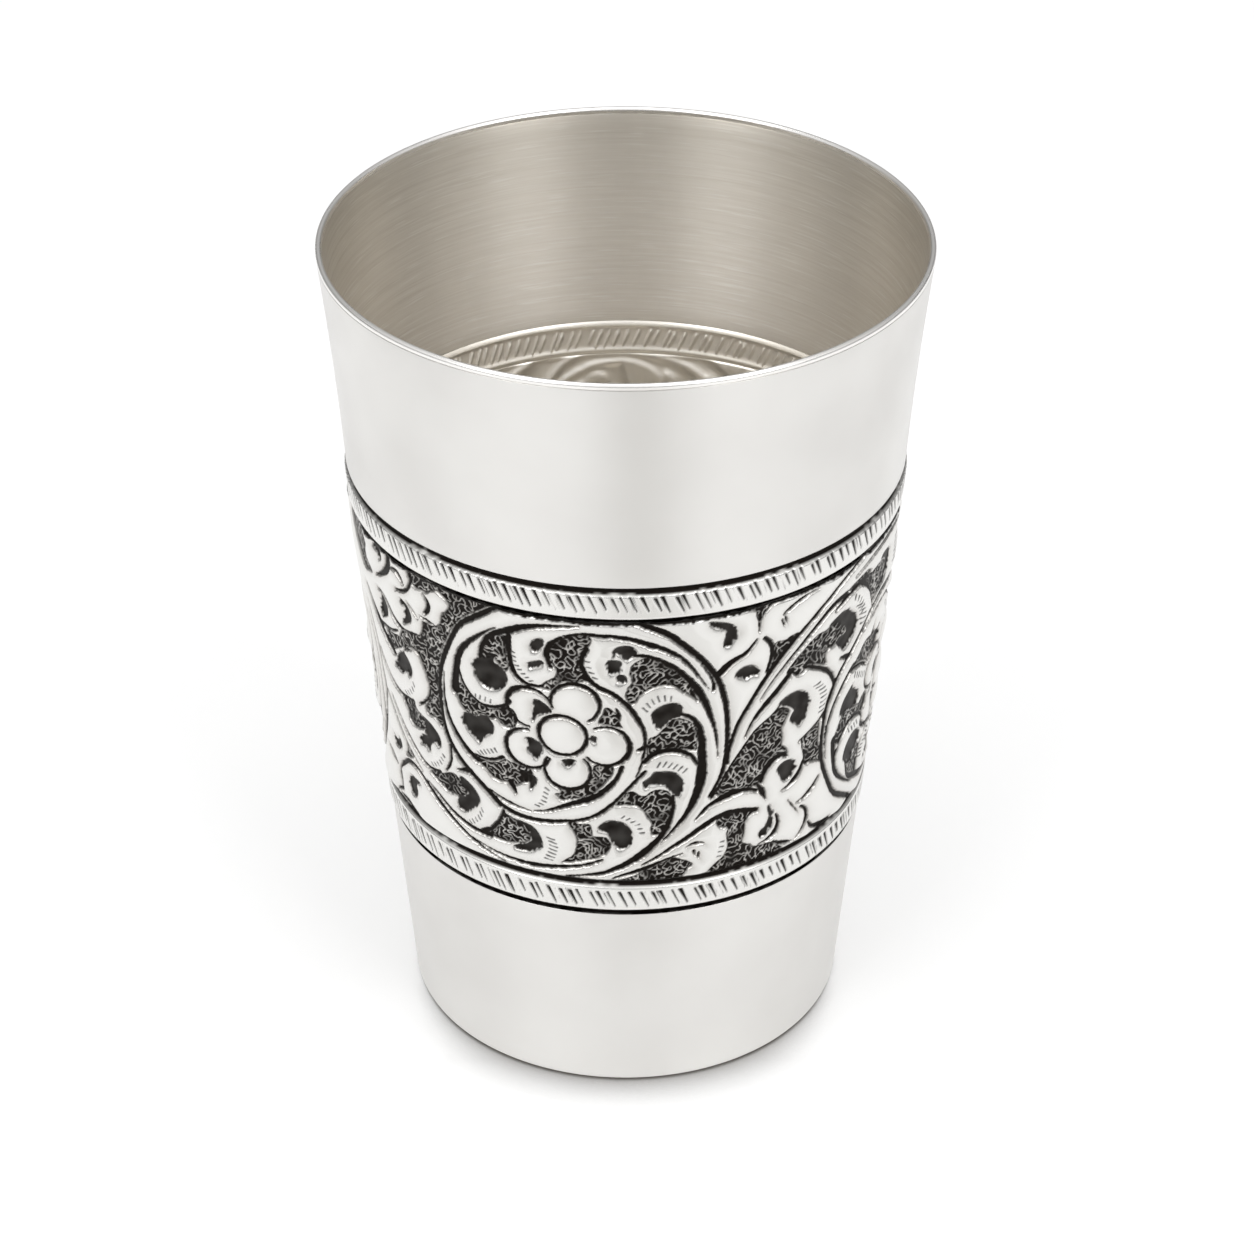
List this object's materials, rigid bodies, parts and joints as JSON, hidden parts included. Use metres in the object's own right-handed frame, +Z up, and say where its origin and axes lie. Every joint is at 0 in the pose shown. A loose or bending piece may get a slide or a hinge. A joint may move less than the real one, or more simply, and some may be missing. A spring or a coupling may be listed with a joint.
{
  "type": "silver tumbler",
  "caption": "Tapered footless silver cup with a plain flared collar and lower wall, a chased scroll frieze between hatched borders, a rim wire and a flat base disc.",
  "frame": {"origin": "centre of the underside of the base disc, where the cup stands", "axes": "+Z up along the axis of the cup to its mouth; -Y is the side that faces the viewer in the picture, +X to the viewer's right"},
  "size_m": [0.0696, 0.0696, 0.1],
  "materials": {
    "polished_silver": "polished silver wire",
    "satin_silver": "satin silver sheet, brushed round the inside",
    "oxidised_silver": "chased silver, bright on the high places and blackened in the ground"
  },
  "bodies": {
    "root": {"base_disc": "satin_silver", "lower_wall": "satin_silver", "lower_border": "oxidised_silver", "frieze_band": "oxidised_silver", "upper_border": "oxidised_silver", "collar": "satin_silver", "rim_wire": "polished_silver"}
  },
  "joints": []
}
